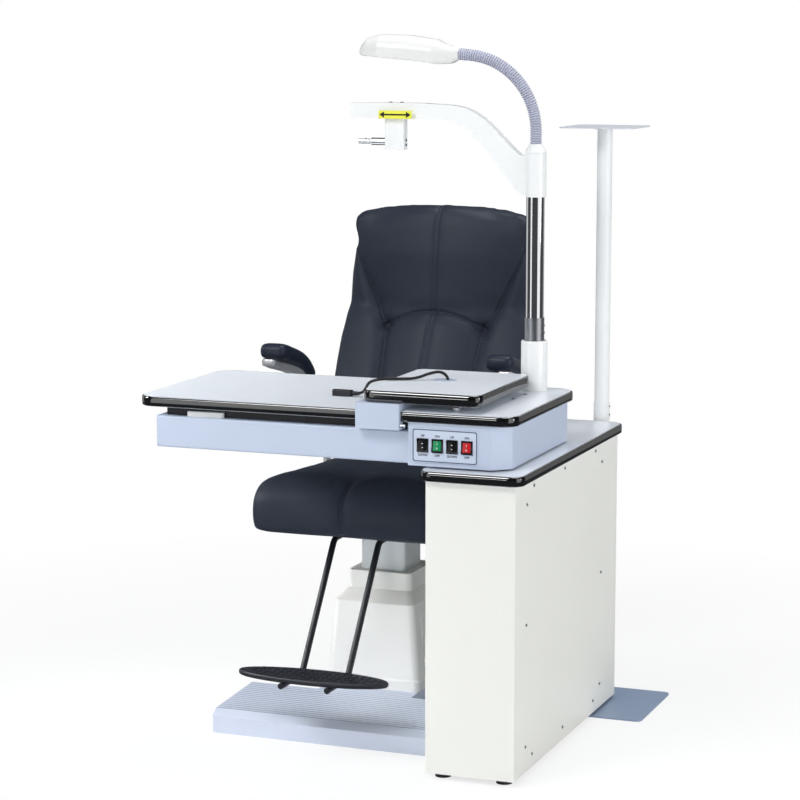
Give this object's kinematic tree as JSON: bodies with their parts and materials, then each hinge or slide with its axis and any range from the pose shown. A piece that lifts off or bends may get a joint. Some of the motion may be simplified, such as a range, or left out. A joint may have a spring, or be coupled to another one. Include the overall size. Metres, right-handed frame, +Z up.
{
  "type": "ophthalmic examination unit",
  "caption": "Ophthalmic examination chair on a lifting column, joined to a cabinet with a swinging instrument table, a refractor arm, an examination lamp and a projector stand.",
  "frame": {"origin": "on the floor, on the axis of the chair's lift column", "axes": "+Z up; the patient faces -Y; the cabinet stands at +X, on the patient's left"},
  "size_m": [1.082, 1.0877, 1.7164],
  "materials": {
    "blue_sheet": "satin",
    "step_plastic": "satin",
    "white_plastic": "satin",
    "white_paint": "satin",
    "grey_paint": "satin",
    "floor_paint": "satin",
    "laminate": "satin",
    "black_edge": "gloss",
    "black_rubber": "matte",
    "black_plastic": "satin",
    "black_paint": "satin",
    "leather": "satin",
    "steel": "brushed",
    "chrome": "mirror",
    "cast_silver": "satin",
    "tray_paint": "satin",
    "green_switch": "gloss",
    "red_switch": "gloss",
    "black_switch": "gloss",
    "lens": "frosted"
  },
  "bodies": {
    "stand": {"base_platform": "step_plastic", "pedestal_cover": "white_plastic", "chair_lift_core": "steel", "cabinet_body": "white_paint", "cabinet_side_panel": "white_paint", "cabinet_screws": "steel", "cabinet_feet": "black_rubber", "worktop": "laminate", "worktop_edging": "black_edge", "table_lift_guide": "steel", "floor_plate": "floor_paint", "projector_lower_tube": "white_paint"},
    "chair": {"chair_column": "grey_paint", "mounting_plate": "black_paint", "seat_frame": "black_paint", "seat_cushion": "leather", "back_bracket": "black_paint", "back_shell": "black_plastic", "backrest_cushion": "leather", "armrest_post_left": "cast_silver", "armrest_post_right": "cast_silver", "footrest_rods": "black_paint", "footrest_plate": "black_rubber"},
    "left_armrest": {"armrest_base_left": "cast_silver", "armrest_pad_left": "black_plastic"},
    "right_armrest": {"armrest_base_right": "cast_silver", "armrest_pad_right": "black_plastic"},
    "table_lifter": {"lift_column": "steel", "spindle_tube": "steel", "pole_sleeve": "white_paint", "clamp_collar": "chrome"},
    "table": {"turret_housing": "blue_sheet", "table_beam": "blue_sheet", "table_rail": "black_plastic", "table_board": "laminate", "table_edging": "black_edge", "switch_plate": "blue_sheet"},
    "lever": {"brake_lever": "white_plastic"},
    "power_rocker": {"rocker_power": "red_switch"},
    "lamp_rocker": {"rocker_lamp": "green_switch"},
    "chair_rocker": {"rocker_chair": "black_switch"},
    "table_rocker": {"rocker_table": "black_switch"},
    "platform": {"instrument_platform": "laminate", "platform_edging": "black_edge", "carriage_block": "blue_sheet", "carriage_lock_screw": "chrome", "platform_rollers": "chrome", "cable_grommet": "black_plastic", "cable": "black_rubber", "cable_connector": "black_plastic"},
    "pole": {"chrome_pole": "chrome"},
    "arm": {"refractor_arm": "white_paint"},
    "arm_carriage": {"refractor_bracket": "white_paint", "refractor_pin": "chrome"},
    "lamp": {"lamp_socket": "white_paint", "gooseneck": "chrome", "lamp_shade": "white_plastic", "lamp_diffuser": "lens"},
    "projector_mast": {"projector_pole": "white_paint"},
    "projector_tray": {"projector_plate": "tray_paint"}
  },
  "joints": [
    {"name": "chair_lift", "type": "slide", "parent": "stand", "child": "chair", "axis": [0, 0, 1], "range_m": [-0.06, 0.12]},
    {"name": "left_armrest_flip", "type": "hinge", "parent": "chair", "child": "left_armrest", "pos_m": [0.3, 0.152, 0.765], "axis": [-1, 0, 0], "range_deg": [0, 85]},
    {"name": "right_armrest_flip", "type": "hinge", "parent": "chair", "child": "right_armrest", "pos_m": [-0.3, 0.152, 0.765], "axis": [-1, 0, 0], "range_deg": [0, 85]},
    {"name": "table_lift", "type": "slide", "parent": "stand", "child": "table_lifter", "axis": [0, 0, 1], "range_m": [0, 0.2]},
    {"name": "table_swing", "type": "hinge", "parent": "table_lifter", "child": "table", "pos_m": [0.45, -0.205, 0.78], "axis": [0, 0, 1], "range_deg": [0, 90]},
    {"name": "platform_slide", "type": "slide", "parent": "table", "child": "platform", "axis": [-1, 0, 0], "range_m": [0, 0.34]},
    {"name": "brake_lever_turn", "type": "hinge", "parent": "table", "child": "lever", "pos_m": [-0.199, -0.5973, 0.817], "axis": [0, 0, 1], "range_deg": [0, 30]},
    {"name": "power_rocker_tilt", "type": "hinge", "parent": "table", "child": "power_rocker", "pos_m": [0.4262, -0.612, 0.781], "axis": [1, 0, 0], "range_deg": [0, 12]},
    {"name": "lamp_rocker_tilt", "type": "hinge", "parent": "table", "child": "lamp_rocker", "pos_m": [0.3546, -0.612, 0.781], "axis": [1, 0, 0], "range_deg": [0, 12]},
    {"name": "chair_rocker_tilt", "type": "hinge", "parent": "table", "child": "chair_rocker", "pos_m": [0.3904, -0.612, 0.781], "axis": [1, 0, 0], "range_deg": [-6, 6], "stiffness_Nm_per_rad": 0.5},
    {"name": "table_rocker_tilt", "type": "hinge", "parent": "table", "child": "table_rocker", "pos_m": [0.3188, -0.612, 0.781], "axis": [1, 0, 0], "range_deg": [-6, 6], "stiffness_Nm_per_rad": 0.5},
    {"name": "pole_height", "type": "slide", "parent": "table_lifter", "child": "pole", "axis": [0, 0, 1], "range_m": [-0.2, 0.1]},
    {"name": "arm_swing", "type": "hinge", "parent": "pole", "child": "arm", "pos_m": [0.45, -0.205, 1.36], "axis": [0, 0, 1], "range_deg": [-40, 90]},
    {"name": "bracket_slide", "type": "slide", "parent": "arm", "child": "arm_carriage", "axis": [1, 0, 0], "range_m": [-0.04, 0.04]},
    {"name": "lamp_swivel", "type": "hinge", "parent": "arm", "child": "lamp", "pos_m": [0.45, -0.205, 1.43], "axis": [0, 0, 1], "range_deg": [-60, 90]},
    {"name": "projector_height", "type": "slide", "parent": "stand", "child": "projector_mast", "axis": [0, 0, 1], "range_m": [-0.2, 0.2]},
    {"name": "projector_turn", "type": "hinge", "parent": "projector_mast", "child": "projector_tray", "pos_m": [0.5, 0.205, 1.474], "axis": [0, 0, 1], "range_deg": [-90, 90]}
  ]
}
